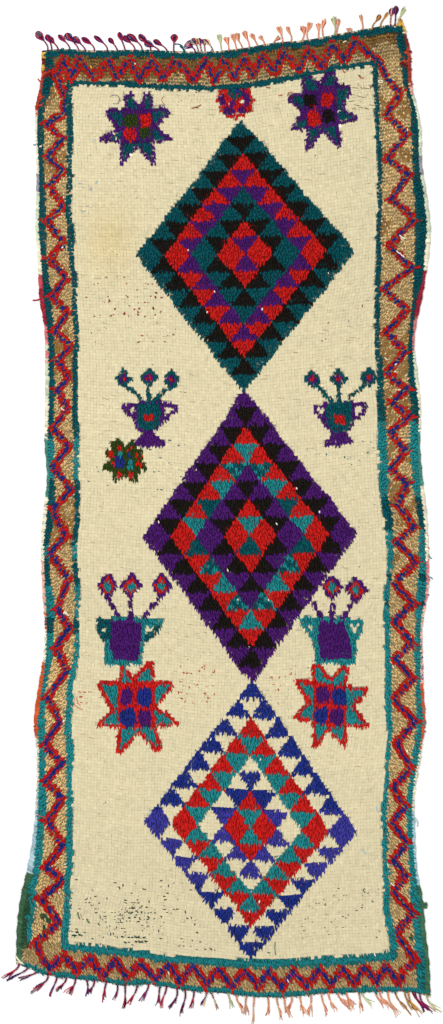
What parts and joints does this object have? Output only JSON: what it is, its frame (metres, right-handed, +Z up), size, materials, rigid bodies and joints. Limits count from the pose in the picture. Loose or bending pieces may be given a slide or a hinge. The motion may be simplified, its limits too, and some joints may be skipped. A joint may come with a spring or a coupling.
{
  "type": "moroccan rug with fringed ends",
  "caption": "Long flat knotted-pile wool rug with an uneven outline, overcast side cords and short tasselled ends.",
  "frame": {"origin": "on the floor under the middle of the rug's outline, fringes included", "axes": "+Z up from the floor, +Y along the rug towards the end with the looped tassels, +X to the right seen from above"},
  "size_m": [1.641, 3.8132, 0.012],
  "materials": {
    "pile": "matt hand-knotted wool pile, ivory field with coloured motifs",
    "side_cord": "matt wool yarn overcast in stretches of many colours",
    "fringe": "matt twisted wool warp ends, maroon, peach and pale green"
  },
  "bodies": {
    "root": {"rug_pile": "pile", "selvedge_left": "side_cord", "selvedge_right": "side_cord", "fringe_top": "fringe", "fringe_bottom": "fringe"}
  },
  "joints": []
}
